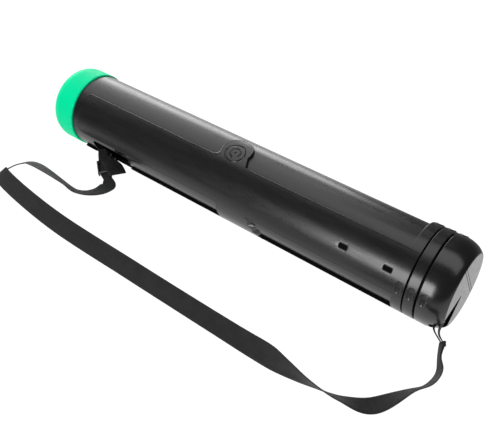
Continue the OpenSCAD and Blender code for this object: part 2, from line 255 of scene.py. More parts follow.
class Nodes:
    """Short forms for building a material's node tree."""

    def __init__(self, name):
        self.material = bpy.data.materials.new(name)
        self.material.use_nodes = True
        self.tree = self.material.node_tree
        self.shader = self.tree.nodes["Principled BSDF"]
        self.place = self.add("ShaderNodeTexCoord").outputs["Object"]

    def add(self, kind, **settings):
        """A new node. Settings with a capital are inputs; the others are its own."""
        node = self.tree.nodes.new(kind)
        for key, value in settings.items():
            if key[0].isupper():
                node.inputs[key.replace("_", " ")].default_value = value
            else:
                setattr(node, key, value)
        return node

    def link(self, source, target):
        self.tree.links.new(source, target)

    def set(self, **values):
        for key, value in values.items():
            self.shader.inputs[key.replace("_", " ")].default_value = value

    def noise(self, scale, detail=3, stretch=(1, 1, 1), rough=0.5):
        mapping = self.add("ShaderNodeMapping")
        mapping.inputs["Scale"].default_value = stretch
        self.link(self.place, mapping.inputs["Vector"])
        noise = self.add("ShaderNodeTexNoise", Scale=scale, Detail=detail, Roughness=rough)
        self.link(mapping.outputs["Vector"], noise.inputs["Vector"])
        return noise.outputs["Fac"]

    def spread(self, value, low, high, from_low=0.3, from_high=0.7):
        """The value, scaled so that from_low to from_high becomes low to high."""
        node = self.add("ShaderNodeMapRange")
        ends = ((1, from_low), (2, from_high), (3, low), (4, high))
        for index, end in ends:
            node.inputs[index].default_value = end
        self.link(value, node.inputs[0])
        return node.outputs[0]

    def math(self, operation, *terms):
        """Terms are sockets or plain numbers."""
        node = self.add("ShaderNodeMath", operation=operation)
        for target, term in zip(node.inputs, terms):
            if isinstance(term, (int, float)):
                target.default_value = term
            else:
                self.link(term, target)
        return node.outputs[0]

    def colours(self, value, dark, light):
        node = self.add("ShaderNodeMix", data_type="RGBA")
        self.link(value, node.inputs["Factor"])
        node.inputs["A"].default_value = (*dark, 1)
        node.inputs["B"].default_value = (*light, 1)
        self.link(node.outputs["Result"], self.shader.inputs["Base Color"])

    def roughness(self, value, low, high):
        self.link(self.spread(value, low, high), self.shader.inputs["Roughness"])

    def bump(self, *layers):
        """Each layer is (height socket, depth in metres)."""
        last = None
        for height, depth in layers:
            node = self.add("ShaderNodeBump", Distance=depth, Strength=1.0)
            self.link(height, node.inputs["Height"])
            if last is not None:
                self.link(last, node.inputs["Normal"])
            last = node.outputs["Normal"]
        self.link(last, self.shader.inputs["Normal"])


def moulded(name, dark, light, rough, grain=0.006, specular=0.5, coat=0.0):
    """Moulded plastic: fine spark-eroded grain, slow colour drift and faint scuffs. Where a
    mesh is marked as a recess, its gloss and coat drop almost to nothing: painted shade
    that darkens the recess. grain is in millimetres."""
    n = Nodes(name)
    drift = n.noise(14, 4)
    fine = n.noise(2600, 2)
    scuff = n.noise(90, 6, (0.25, 1.5, 1.5), 0.65)
    n.colours(drift, dark, light)
    n.roughness(scuff, *rough)
    n.set(Coat_Roughness=0.15)
    # painted shade: faces marked as a recess lose nearly all their gloss and coat, so they stay dark
    recess = n.add("ShaderNodeAttribute", attribute_name="recess").outputs["Fac"]
    for socket, level in (("Specular IOR Level", specular), ("Coat Weight", coat)):
        n.link(n.spread(recess, level, 0.02 * level, 0, 1), n.shader.inputs[socket])
    n.bump((fine, grain * MM), (n.noise(38, 3), 0.05 * MM))
    return n.material


def webbing(name, dark, light):
    """Woven polyester: fibre bundles with a soft sheen."""
    n = Nodes(name)
    yarn = n.noise(1500, 3)
    # painted shade: the colour uses the same noise as the weave's bump, so the weave is darker where it
    # lies lower
    n.colours(yarn, dark, light)
    n.roughness(n.noise(60, 3), 0.68, 0.85)
    n.set(Sheen_Weight=0.12, Sheen_Roughness=0.5, Specular_IOR_Level=0.3)
    n.bump((yarn, 0.06 * MM), (n.noise(420, 2), 0.08 * MM))
    return n.material


def foam(name, dark, light):
    """Foam with open cells."""
    n = Nodes(name)
    cells = n.add("ShaderNodeTexVoronoi", Scale=700.0)
    n.link(n.place, cells.inputs["Vector"])
    # painted shade: the colour follows the bump's cells, darker at each cell's middle where the hollow
    # is deepest
    n.colours(cells.outputs["Distance"], dark, light)
    n.roughness(n.noise(200), 0.85, 1.0)
    n.bump((cells.outputs["Distance"], 0.4 * MM))
    return n.material


def steel(name):
    """Bright steel, drawn along X."""
    n = Nodes(name)
    drawn = n.noise(900, 2, (0.06, 1, 1))
    n.colours(n.noise(30), (0.42, 0.43, 0.45), (0.58, 0.59, 0.61))
    n.roughness(drawn, 0.28, 0.42)
    n.set(Metallic=1.0)
    n.bump((drawn, 0.02 * MM))
    return n.material


body_black = moulded("body_black", (0.006, 0.006, 0.0064), (0.009, 0.009, 0.0094),
                     (0.24, 0.34))
cap_black = moulded("cap_black", (0.006, 0.006, 0.0064), (0.009, 0.009, 0.0094),
                    (0.18, 0.28), coat=0.1)
rail_black = moulded("rail_black", (0.002, 0.002, 0.002), (0.004, 0.004, 0.004),
                     (0.55, 0.70), specular=0.05)
inner_black = moulded("inner_black", (0.022, 0.022, 0.023), (0.030, 0.030, 0.031),
                      (0.38, 0.48))
nylon_grey = moulded("bearing_grey", (0.045, 0.045, 0.048), (0.065, 0.065, 0.068),
                     (0.45, 0.60))
sleeve_black = moulded("sleeve_black", (0.001, 0.001, 0.001), (0.002, 0.002, 0.002),
                       (0.6, 0.8), specular=0.05)
lid_green = moulded("lid_green", (0.0, 0.70, 0.31), (0.0, 0.78, 0.36),
                    (0.34, 0.46), grain=0.004, specular=0.05)
slider_black = moulded("slider_black", (0.008, 0.008, 0.008), (0.012, 0.012, 0.012),
                       (0.14, 0.24))
rubber = moulded("gasket_rubber", (0.05, 0.05, 0.052), (0.07, 0.07, 0.072),
                 (0.7, 0.85), grain=0.02)
foam_grey = foam("foam", (0.03, 0.03, 0.031), (0.09, 0.09, 0.092))
plain_steel = steel("steel")
webbing_black = webbing("webbing_black", (0.004, 0.004, 0.0044), (0.013, 0.013, 0.0136))

# ---- relief shared by the bands --------------------------------------------------------

GRIP_RISE = 1.3 * MM
GRIP_HALF_X, GRIP_HALF_ROUND = 4.7 * MM, 8.8 * MM
GRIP_MARGIN = 10.5                       # degrees from a grip's middle to past its end
BAND_STEP, BAND_EDGE = 0.3 * MM, 0.5 * MM
EDGE_POINTS = 5


def grip_relief(x, theta, centre):
    """Raised ovals, three to a band, with a crisp foot and a dished top."""
    height = np.zeros(np.broadcast(x, theta).shape)
    for angle in GRIP_ANGLES:
        u = (x - centre) / GRIP_HALF_X
        v = turn_gap(theta, angle) * COLLAR_R / GRIP_HALF_ROUND
        inside = np.clip(1 - u * u - v * v, 0, 1)
        dish = 1 - 1.5 * inside ** 0.8
        height = np.maximum(height, GRIP_RISE * smooth(inside / 0.2) * dish)
    return height


def band_thetas():
    """Angles round a band, closer together over its grips."""
    stops = [(0, 2 * math.pi, math.radians(1.5))]
    half = math.radians(GRIP_MARGIN)
    stops += [(a - half, a + half, math.radians(0.25)) for a in GRIP_ANGLES]
    values = lines(stops)
    return values[(values >= 0) & (values < 2 * math.pi - 0.002)]


def with_share(points, share=0.0):
    """(x, r) points with the share of the relief that they take on."""
    return np.column_stack([points, np.full(len(points), float(share))])


def band_outline(x0, x1):
    """Outer line of a band from x0 to x1 with rounded edges, and relief between them."""
    edge, step = BAND_EDGE, BAND_STEP
    start = arc((x0 + edge, COLLAR_R - edge), edge, 180, 90, EDGE_POINTS)
    middle = np.arange(x0 + edge + step, x1 - edge - step / 2, step)
    middle = np.column_stack([middle, np.full(len(middle), COLLAR_R)])
    end = arc((x1 - edge, COLLAR_R - edge), edge, 90, 0, EDGE_POINTS)
    return np.concatenate([with_share(start), with_share(middle, 1), with_share(end)])


# ---- outer tube ------------------------------------------------------------------------

WINDOW_L, WINDOW_W = 10 * MM, 4.7 * MM
BOSS_R = 21 * MM
RING_DROP = math.radians(6.6)            # the ring's centre is below the boss's centre
EMBLEM_DEPTH = 1 * MM
# distance from the middle and width of each groove of the emblem
RING_GROOVE, HEXAGON_GROOVE, DOT_W = (13.4 * MM, 1.5 * MM), (6.5 * MM, 1.3 * MM), 2.6 * MM


def pad_distance(x, theta):
    """Distance to the outline of the side pads, below zero inside it. The front pad
    runs into the round boss that carries the emblem."""
    x1 = COLLAR_X0 + 20 * MM
    half_x = (x1 - PAD_X0) / 2
    half_u = (PAD_HIGH - PAD_LOW) / 2 * COLLAR_R
    mid = (PAD_HIGH + PAD_LOW) / 2
    pads = [round_box(x - (x1 + PAD_X0) / 2, turn_gap(theta, side * mid) * COLLAR_R,
                      half_x, half_u, 9 * MM) for side in (1, -1)]
    u, v = x - EMBLEM_X, turn_gap(theta, EMBLEM_ANGLE) * COLLAR_R
    boss = np.hypot(u, v) - BOSS_R
    flank = np.maximum(np.maximum(u + 0.41 * v - 18.5 * MM, v - 2 * MM), -u)
    right = np.minimum(np.minimum(pads[0], boss), flank)
    front = np.where(u < 0, soft_union(pads[0], boss, 16 * MM), right)
    return np.minimum(front, pads[1])


def emblem_relief(x, theta):
    """A plain sunk ring round a small hexagon and a dot, like the end of a pencil."""
    u, v = x - EMBLEM_X - 1.2 * MM, turn_gap(theta, EMBLEM_ANGLE - RING_DROP) * COLLAR_R
    d = np.hypot(u, v)
    sector = (np.arctan2(v, u) + math.pi / 6) % (math.pi / 3) - math.pi / 6
    to_side = d * np.cos(sector)
    cut = np.zeros(np.broadcast(x, theta).shape)
    for distance, width in ((d - RING_GROOVE[0], RING_GROOVE[1]),
                            (to_side - HEXAGON_GROOVE[0], HEXAGON_GROOVE[1]), (d, DOT_W)):
        cut = np.maximum(cut, smooth(1.5 - np.abs(distance) / (width / 2)))
    return -EMBLEM_DEPTH * cut


# start, lower and upper angle in degrees, and corner radius of each part of the well
WELL_STEPS = ((WELL_X0, -12, 8, 3 * MM), (WELL_X0 + 11 * MM, 5, 36.5, 7 * MM),
              (WELL_X0 + 56 * MM, 5, 45, 5 * MM))
WELL_SIDES = (-12, 7, 36.5, 45)          # angles near its edges, where the mesh is finer


def well_distance(x, theta, grow=0.0):
    """Distance to the outline of the strap well, below zero inside it. The well grows
    taller in two steps, away from the lid."""
    steps = []
    for x0, low, high, corner in WELL_STEPS:
        mid, half = math.radians((low + high) / 2), math.radians((high - low) / 2) * TUBE_R
        steps.append(round_box(x - (x0 + WELL_X1) / 2, turn_gap(theta, mid) * TUBE_R,
                               (WELL_X1 - x0) / 2 + grow, half + grow, corner))
    return np.minimum.reduce(steps)


def well_depth(x, theta):
    """1 inside the strap well, 0 outside it."""
    return smooth(0.5 - well_distance(x, theta) / (0.7 * MM))


def window_depth(x, theta):
    """1 in the windows of both pads, and a low sunk rim round each."""
    depth = np.zeros(np.broadcast(x, theta).shape)
    for side in (1, -1):
        for centre in WINDOW_X:
            d = round_box(x - centre, turn_gap(theta, side * WINDOW_ANGLE) * COLLAR_R,
                          WINDOW_L / 2, WINDOW_W / 2, 0.8 * MM)
            rim = 0.12 * smooth(0.5 - (d - 0.5 * MM) / (1.4 * MM))
            depth = np.maximum(depth, np.maximum(rim, smooth(0.5 - d / (0.5 * MM))))
    return depth


def tube_radius(x, theta):
    """Outer radius of the tube between the lid joint and its end."""
    rise = COLLAR_R - TUBE_R
    d = pad_distance(x, theta)
    step = smooth(0.5 - d / (0.6 * MM))
    inward = np.clip(-d / (1.6 * MM), 0, 1)
    pad = rise * step * (0.72 + 0.28 * np.sqrt(inward * (2 - inward)))
    bead = 0.25 * MM * smooth(1 - np.abs(d + 1.1 * MM) / (0.9 * MM))
    pad = pad + bead
    collar = rise * smooth(0.5 + (x - COLLAR_X0) / (0.8 * MM))
    r = TUBE_R + np.maximum(pad, collar)
    r = r + emblem_relief(x, theta)
    r = r + grip_relief(x, theta, (COLLAR_X0 + TUBE_X1) / 2)
    r = r - window_depth(x, theta) * (r - BORE_R - 0.6 * MM)
    return r - well_depth(x, theta) * (r - WELL_R)


def bore_radius(x, theta):
    """Inner radius, which steps inwards behind the well."""
    behind = smooth(0.5 - well_distance(x, theta, TUBE_WALL) / (0.8 * MM))
    return BORE_R - behind * (BORE_R - WELL_R + TUBE_WALL)


def tube_lines():
    """Stations along the tube and angles round it, closer together where there is relief."""
    fine = 0.25 * MM
    stops = [(TUBE_X0 + 0.8 * MM, TUBE_X1 - 0.8 * MM, 5 * MM),
             (PAD_X0 - 1 * MM, PAD_X0 + 11 * MM, 0.5 * MM),
             (EMBLEM_X - 44 * MM, EMBLEM_X + 25 * MM, 0.55 * MM),
             (COLLAR_X0 - 1.5 * MM, TUBE_X1 - 0.8 * MM, 0.45 * MM)]
    well_edges = [step[0] for step in WELL_STEPS] + [WELL_X1]
    edges = well_edges + [c + s * WINDOW_L / 2 for c in WINDOW_X for s in (-1, 1)]
    stops += [(e - 1.2 * MM, e + 1.3 * MM, fine) for e in edges]
    stops += [(e - 5 * MM, e + 5 * MM, 0.7 * MM) for e in well_edges]
    return lines(stops), tube_thetas()


def tube_thetas():
    """Angles round the tube, worked out in degrees and returned in radians."""
    d = math.degrees
    corner = 9                           # reach of a pad's rounded corner
    stops = [(0, 360, 2.5), (d(EMBLEM_ANGLE) - 26, d(EMBLEM_ANGLE) + 25, 0.6)]
    for side in (1, -1):
        low, high = side * d(PAD_LOW), side * d(PAD_HIGH)
        stops += [(edge - 1.2, edge + 1.3, 0.2) for edge in (low, high)]
        stops.append((low + min(side, 0) * corner, low + max(side, 0) * corner, 0.8))
        stops.append((high - max(side, 0) * corner, high - min(side, 0) * corner, 0.8))
        for s in (-1, 1):
            centre = side * d(WINDOW_ANGLE) + s * d(WINDOW_W / 2 / COLLAR_R)
            stops.append((centre - 0.8, centre + 0.9, 0.25))
    for edge in WELL_SIDES:
        stops.append((edge - 1, edge + 1.1, 0.25))
        stops.append((edge - 5, edge + 5, 0.8))
    stops += [(d(a) - GRIP_MARGIN, d(a) + GRIP_MARGIN, 0.5) for a in GRIP_ANGLES]
    angles = np.concatenate([np.arange(*s) for s in stops]) % 360
    angles = np.unique(np.round(angles, 3))
    keep = np.concatenate([[True], np.diff(angles) > 0.12])
    return np.radians(angles[keep & (angles < 359.9)])


def neck_outline():
    """Inside and outside of the neck that the lid goes over, with two sunk lines."""
    neck = [(TUBE_X0 + TUBE_WALL, NECK_R - TUBE_WALL),
            (NECK_X0 + 0.3 * MM, NECK_R - TUBE_WALL),
            (NECK_X0, NECK_R - TUBE_WALL + 0.3 * MM),
            (NECK_X0, NECK_R - 0.6 * MM),
            (NECK_X0 + 0.6 * MM, NECK_R)]
    for line_x in (NECK_X0 + 6 * MM, NECK_X0 + 12 * MM):
        neck += [(line_x - 0.5 * MM, NECK_R), (line_x - 0.3 * MM, NECK_R - 0.35 * MM),
                 (line_x + 0.3 * MM, NECK_R - 0.35 * MM), (line_x + 0.5 * MM, NECK_R)]
    return neck + [(TUBE_X0, NECK_R), (TUBE_X0, TUBE_R - 1 * MM)]


def build_outer_tube():
    """One closed skin: along the outside to the nose, and back through the bore."""
    stations, thetas = tube_lines()
    theta = thetas[None, :]
    rows = []

    def plain_row(x, r):
        rows.append((np.full_like(theta, x), np.full_like(theta, r)))

    def relief_row(x, radius):
        xs = np.full_like(theta, x)
        rows.append((xs, radius(xs, theta)))

    edge, foot = 0.5 * MM, 0.6 * MM
    for x, r in arc((TUBE_X0 + edge, TUBE_R - edge), edge, 180, 90, EDGE_POINTS):
        plain_row(x, r)
    for x in stations:
        relief_row(x, tube_radius)
    for x, r in arc((TUBE_X1 - edge, COLLAR_R - edge), edge, 90, 0, EDGE_POINTS):
        plain_row(x, r)
    plain_row(TUBE_X1, NOSE_R + foot)
    for x, r in arc((TUBE_X1 + foot, NOSE_R + foot), foot, 180, 270, 4)[1:]:
        plain_row(x, r)
    plain_row(NOSE_X1 - 0.4 * MM, NOSE_R)
    plain_row(NOSE_X1, NOSE_R - 0.4 * MM)
    plain_row(NOSE_X1, BORE_R)
    inside = lines([(TUBE_X0 + 3 * MM, NOSE_X1 - 3 * MM, 25 * MM),
                    (WELL_X0 - 4 * MM, WELL_X0 + 4 * MM, 0.6 * MM),
                    (WELL_X1 - 4 * MM, WELL_X1 + 5 * MM, 0.6 * MM)])
    for x in inside[::-1]:
        relief_row(x, bore_radius)
    plain_row(TUBE_X0 + TUBE_WALL, BORE_R)
    for x, r in neck_outline():
        plain_row(x, r)
    x = np.concatenate([row[0] for row in rows])
    r = np.concatenate([row[1] for row in rows])
    piece = grid_piece("tube_shell", around(x, r, theta), body_black, True, True, sharp=38)
    mark_recess(piece, lambda x: np.full_like(x, TUBE_R))
    assign(piece, "outer", "outer_tube")


# ---- lock ring -------------------------------------------------------------------------


def build_lock_ring():
    """The ring between the tube and the end cap, with its grips."""
    bore = NOSE_R + 0.05 * MM
    lip = INNER_R + 0.4 * MM
    outline = band_outline(RING_X0, RING_X1)
    inside = np.array([(RING_X1, lip + 0.4 * MM, 0), (RING_X1 - 0.4 * MM, lip, 0),
                       (NOSE_X1 + 1.2 * MM, lip, 0), (NOSE_X1 + 1.2 * MM, bore, 0),
                       (RING_X0 + 0.4 * MM, bore, 0), (RING_X0, bore + 0.4 * MM, 0)])
    centre = (RING_X0 + RING_X1) / 2
    piece = turned("lock_ring_shell", np.concatenate([outline, inside]), body_black,
                   band_thetas(), lambda x, t: grip_relief(x, t, centre))
    assign(piece, "lock", "lock_ring")


# ---- end cap ---------------------------------------------------------------------------

SHOULDER_L, SHOULDER_H = 24 * MM, 11 * MM
CURVE_L, CURVE_H = 26.5 * MM, 17 * MM    # half axes of the ellipse the shoulder is part of
CAP_WALL = 2.4 * MM
CAP_FLOOR_X = -17 * MM
AXIS_GAP = 0.02 * MM                     # keeps a turned outline just off the axis
POCKET_W, POCKET_R0, POCKET_X0 = 16 * MM, 7 * MM, -15 * MM
BAR_X0, BAR_X1, BAR_R = -10 * MM, -4.5 * MM, 43 * MM
# the slot is a wedge: its sides, where it meets the bar and where it ends near the axis
SLOT_OUTER, SLOT_INNER = (-13 * MM, 15 * MM), (-1.5 * MM, 1.5 * MM)
CHEEK = 2.2 * MM                         # walls on both sides of the slot
BEYOND = 3 * MM                          # how far a cutter stands out of the flat face
OUTSIDE_R = 62 * MM                      # cutters reach to this radius, past the cap


def ellipse_corner(x0, r0, length, height, count):
    """Quarter ellipse from (x0, r0 + height) to (x0 + length, r0)."""
    t = np.linspace(0, math.pi / 2, count)
    return np.column_stack([x0 + length * np.sin(t), r0 + height * np.cos(t)])


def cap_skin(x):
    """Radius of the cap's outside. Its shoulder meets the flat face at a crisp edge."""
    s = np.clip((x + SHOULDER_L) / CURVE_L, 0, 1)
    return COLLAR_R - CURVE_H * (1 - np.sqrt(1 - s * s))


def cap_recess_skin(x):
    """The same, but zero on the flat face, where nothing counts as a recess."""
    return np.where(x > -0.45 * MM, 0, cap_skin(x))


# the strap's slot lies further round the front than the rail
POCKET_ROLL = RAIL_ROLL + math.radians(14)


def along(x, r, t):
    """Point of the part's frame: x along the axis, r towards the strap's slot, t round
    from it."""
    c, s = math.cos(POCKET_ROLL), math.sin(POCKET_ROLL)
    return Vector((x, -r * s - t * c, -r * c + t * s))


def block(name, x, r, t, corner=0.0, inner_t=None):
    """A box in the end cap's own directions, each given as (low, high). inner_t is its
    width at the end near the axis, when it differs."""
    points = [along(a, b, c) for a in x for b, span in zip(r, (inner_t or t, t)) for c in span]
    faces = [(0, 1, 3, 2), (4, 6, 7, 5), (0, 4, 5, 1), (2, 3, 7, 6), (0, 2, 6, 4), (1, 5, 7, 3)]
    piece = add_mesh(name, points, faces, cap_black)
    if corner:
        modify(piece, "BEVEL", width=corner, segments=4)
        apply_modifiers(piece)
    return piece


def combine(piece, other, operation):
    """Adds the other piece to this one or cuts it out, and uses it up."""
    modify(piece, "BOOLEAN", operation=operation, object=other, solver="MANIFOLD")
    apply_modifiers(piece)
    bpy.data.objects.remove(other)


def cap_outline():
    """Closed line of the cap's wall: skirt, shoulder, flat face and the hollow behind."""
    skirt = band_outline(CAP_X, -SHOULDER_L + 3 * MM)[:-EDGE_POINTS]
    skirt = skirt[skirt[:, 0] < -SHOULDER_L - 0.2 * MM]
    turn = np.sin(np.linspace(0, math.pi / 2, 64))
    stations = -SHOULDER_L + (SHOULDER_L - 0.2 * MM) * turn
    dome = np.column_stack([stations, cap_skin(stations)])
    face_r = cap_skin(0) - 0.5 * MM
    face = [(0, face_r), (0, face_r - 3 * MM), (0, 20 * MM), (0, AXIS_GAP)]
    hollow = ellipse_corner(-SHOULDER_L, COLLAR_R - SHOULDER_H - CAP_WALL,
                            SHOULDER_L - CAP_WALL, SHOULDER_H, 14)
    back = np.concatenate([[(-CAP_WALL, AXIS_GAP)], hollow[::-1],
                           [(CAP_X + BAND_EDGE, COLLAR_R - CAP_WALL),
                            (CAP_X, COLLAR_R - CAP_WALL + BAND_EDGE)]])
    return np.concatenate([skirt, with_share(dome, 1), with_share(face), with_share(back)])


def add_sleeve(cap):
    """Sleeve that holds the inner tube, and the floor it stands on."""
    low, high = INNER_R + 0.03 * MM, INNER_R + 2.5 * MM
    outline = [(CAP_X + 1 * MM, low), (CAP_X + 1 * MM, high),
               (CAP_FLOOR_X - 1.6 * MM, high), (CAP_FLOOR_X - 1.6 * MM, COLLAR_R - 1.6 * MM),
               (CAP_FLOOR_X, COLLAR_R - 2.6 * MM), (CAP_FLOOR_X, low)]
    combine(cap, turned("sleeve", outline, cap_black), "UNION")


def add_pocket(cap):
    """Housing inside the cap, the slot in its face, and the hole in its side for the strap."""
    floor_x = CAP_FLOOR_X + 0.3 * MM
    side = POCKET_W / 2
    wedge = (SLOT_OUTER[0] - CHEEK, SLOT_OUTER[1] + CHEEK)
    wedge_inner = (SLOT_INNER[0] - CHEEK, SLOT_INNER[1] + CHEEK)
    straight = (-side - CHEEK, side + CHEEK)
    combine(cap, block("housing", (floor_x, -0.4 * MM), (POCKET_R0 - CHEEK, 42 * MM), wedge,
                       inner_t=wedge_inner), "UNION")
    combine(cap, block("housing", (floor_x, BAR_X1), (41 * MM, 47 * MM), straight), "UNION")
    combine(cap, block("housing", (floor_x, BAR_X0 + 1 * MM), (46 * MM, 50 * MM), straight), "UNION")
    combine(cap, block("slot", (POCKET_X0, BEYOND), (POCKET_R0, BAR_R), SLOT_OUTER, 0.6 * MM,
                       SLOT_INNER), "DIFFERENCE")
    combine(cap, block("face_slot", (BAR_X1, BEYOND), (BAR_R - 2 * MM, OUTSIDE_R),
                       (-10 * MM, 11 * MM)), "DIFFERENCE")
    combine(cap, block("side_hole", (POCKET_X0, BAR_X0), (BAR_R - 2 * MM, OUTSIDE_R),
                       (-side, side), 1.0 * MM), "DIFFERENCE")


def build_end_cap():
    """The rounded cap with its strap pocket and two creases across its face."""
    centre = CAP_X + 6.3 * MM
    cap = turned("end_cap_shell", cap_outline(), cap_black, band_thetas(),
                 lambda x, t: grip_relief(x, t, centre))
    add_sleeve(cap)
    add_pocket(cap)
    for offset in (-9 * MM, -12.5 * MM):
        groove = (offset - 0.4 * MM, offset + 0.4 * MM)
        combine(cap, block("crease", (-0.5 * MM, 2 * MM), groove, (-60 * MM, 60 * MM)),
                "DIFFERENCE")
    finish_mesh(cap, 30)
    mark_recess(cap, cap_recess_skin)
    modify(cap, "WEIGHTED_NORMAL", keep_sharp=True, weight=100)
    assign(cap, "inner", "end_cap")


# ---- lid -------------------------------------------------------------------------------


def build_lid():
    """Domed cap with fine turned ribs, a plain lip, and a ledge behind its gasket."""
    length, height, wall = 23 * MM, 25 * MM, 2.2 * MM
    lid_x1 = lid_box[1].x
    rib_pitch, rib_depth = 1.9 * MM, 0.16 * MM
    t = np.linspace(0, math.pi / 2, 80)
    dome = np.column_stack([LID_X0 + length * (1 - np.cos(t)), LID_R - height * (1 - np.sin(t))])
    side = np.arange(LID_X0 + length + 0.2 * MM, lid_x1 - 2.6 * MM, 0.2 * MM)
    groove = rib_depth * (np.abs(np.sin(side * math.pi / rib_pitch)) ** 0.6 - 1)
    ribs = np.column_stack([side, LID_R + groove])
    lip = [(lid_x1 - 2.4 * MM, LID_R - 0.25 * MM), (lid_x1 - 2.1 * MM, LID_R - 0.02 * MM),
           (lid_x1 - 0.4 * MM, LID_R - 0.02 * MM), (lid_x1 - 0.1 * MM, LID_R - 0.15 * MM),
           (lid_x1, LID_R - 0.4 * MM), (lid_x1, NECK_R + 0.3 * MM)]
    inner_end = NECK_X0 - 2.1 * MM
    ledge_r = NECK_R - 6 * MM
    inside = [(lid_x1 - 0.3 * MM, NECK_R + 0.1 * MM), (inner_end, NECK_R + 0.1 * MM),
              (inner_end, ledge_r), (inner_end - 1.9 * MM, ledge_r),
              (inner_end - 1.9 * MM, LID_R - wall)]
    hollow = np.column_stack([LID_X0 + wall + (length - wall) * (1 - np.cos(t)),
                              LID_R - wall - height * (1 - np.sin(t))])[::-4]
    outline = np.concatenate([[(LID_X0, AXIS_GAP)], dome, ribs, lip, inside, hollow,
                              [(LID_X0 + wall, AXIS_GAP)]])
    piece = turned("lid_shell", outline, lid_green)
    assign(piece, "lid", "lid")


# ---- strap rail ------------------------------------------------------------------------


def rail_bar(name, x0, x1, r0, r1, low, high):
    """A length of rail with rounded edges, between two angles in degrees."""
    steps = max(2, int(abs(high - low) / 2))
    angles = np.radians(np.linspace(low, high, steps + 1))
    r = np.repeat([r1, r0], len(angles))
    theta = np.concatenate([angles, angles[::-1]])
    grid = np.stack([around(x, r, theta) for x in (x0, x1)])
    piece = grid_piece(name, grid, rail_black, False, True, caps=True)
    modify(piece, "BEVEL", width=0.45 * MM, segments=3, limit_method="ANGLE",
           angle_limit=math.radians(40))
    apply_modifiers(piece)
    assign(piece, "outer")
    return piece


def build_rail():
    """The rail on both sides of the well, a sill along the well, and the pin's two ears."""
    half = 12                            # degrees on each side of the rail's middle
    base = TUBE_R + 0.03 * MM
    ear_low, ear_base = -10.8, TUBE_R - 4 * MM
    left = rail_bar("rail_left", PAD_X0, WELL_X0 + 2.4 * MM, base, COLLAR_R, -half, half)
    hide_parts("strap_rail")
    rail_bar("rail_right", WELL_X1, COLLAR_X0 - 0.5 * MM, base, COLLAR_R, -half, half)
    rail_bar("rail_sill", WELL_X0 + 2.3 * MM, WELL_X1 + 0.1 * MM, base - 1.5 * MM,
             COLLAR_R - 0.1 * MM, -half, -7)
    rail_bar("rail_ear_left", WELL_X0 + 0.2 * MM, WELL_X0 + 2.6 * MM, ear_base,
             COLLAR_R - 0.4 * MM, ear_low, 5)
    rail_bar("rail_ear_right", PIN_X1 - 4 * MM, PIN_X1, ear_base,
             COLLAR_R - 0.6 * MM, ear_low, 4)


# ---- strap -----------------------------------------------------------------------------

WEBBING_W, WEBBING_T = 25 * MM, 1.6 * MM
GATHERED_W, STRAND_W, FOLDED_W = 13 * MM, 9 * MM, 12 * MM
LONG_RUN, BACK_RUN = 171 * MM, 109 * MM  # how far in front of the tube's axis it lies
CLIMB_YAW, CLIMB_PITCH, CLIMB_LEAN = 140, 15, 10   # its way up to the pin, in degrees
SLIDER_AT = np.array([WELL_X0 + 34 * MM, -52.5 * MM, -44.6 * MM])


def unit(v):
    """Vectors at length 1."""
    return v / np.linalg.norm(v, axis=-1, keepdims=True)


def width_at(t, lean):
    """Width direction of webbing that travels along t, turned by lean from lying flat."""
    level = unit(np.cross(t, [0, 0, 1.0]))
    lean = np.radians(lean)[..., None]
    return np.cos(lean) * level + np.sin(lean) * np.cross(level, t)


def arc_knots(centre, r, start, end, lean_start, lean_end, lift=0.0, count=4):
    """Knots on an arc seen from above, with a lean that changes evenly along it."""
    k = np.linspace(0, 1, count)
    a = np.radians(start + k * (end - start))
    return np.column_stack([centre[0] + r * np.cos(a), centre[1] + r * np.sin(a),
                            lean_start + k * (lean_end - lean_start), np.full(count, lift)])


def strap_knots():
    """x, y, lean and lift of the webbing, from the end cap to the slider: a bulge on its
    edge, a wide sweep that turns it over, the long run, the bend and the curl."""
    sweep_r = 100 * MM
    low = -LONG_RUN - 10 * MM
    mouth = [(5 * MM, -47 * MM, 130, 3 * MM)]
    drop = arc_knots((-20 * MM, -92 * MM), 40 * MM, 40, -50, 105, 130)
    sweep = arc_knots((-80 * MM, low + sweep_r), sweep_r, -52, -90, 165, 110, 1 * MM, 3)
    long_run = [(-115 * MM, low + 1 * MM, 75, 0), (-150 * MM, low + 5 * MM, 35, 0),
                (-200 * MM, low + 7 * MM, 16, 0), (-350 * MM, -LONG_RUN - 2 * MM, 18, 0),
                (WELL_X0 + 56 * MM, -LONG_RUN - 1 * MM, 35, 0)]
    bend_r = 27 * MM
    bend = arc_knots((LID_X0 + 28 * MM, -BACK_RUN - bend_r), bend_r, 230, 100, 42, 32, 1 * MM)
    curl = arc_knots((WELL_X0 + 29 * MM, -84 * MM), 32 * MM, -105, 20, 48, 0, 1 * MM, 5)
    return np.concatenate([mouth, drop, sweep, long_run, bend, curl])


def spline(points, steps):
    """Smooth curve through points, with steps samples to a span."""
    p = np.concatenate([points[:1], points, points[-1:]])
    out = []
    for a, b, c, d in zip(p[:-3], p[1:-2], p[2:-1], p[3:]):
        for t in np.arange(steps) / steps:
            out.append((2 * b + (c - a) * t + (2 * a - 5 * b + 4 * c - d) * t ** 2
                        + (3 * b - a - 3 * c + d) * t ** 3) / 2)
    out.append(points[-1])
    return np.array(out)


def knot_place(k):
    """Middle of the webbing at each knot: the more it leans, the higher it stands."""
    rest = WEBBING_T / 2 - COLLAR_R + 0.4 * MM
    rise = WEBBING_W / 2 * np.abs(np.sin(np.radians(k[:, 2])))
    return np.column_stack([k[:, 0], k[:, 1], rest + k[:, 3] + rise])


def run_length(line):
    """Distance along a line at each of its points."""
    return np.concatenate([[0], np.cumsum(np.linalg.norm(np.diff(line, axis=0), axis=1))])


def even(line, extras, step):
    """A line and the values along it, sampled again at an even step."""
    length = run_length(line)
    at = np.linspace(0, length[-1], max(2, int(length[-1] / step)))
    again = [np.column_stack([np.interp(at, length, v[:, i]) for i in range(v.shape[1])])
             for v in [line] + extras]
    return at, again


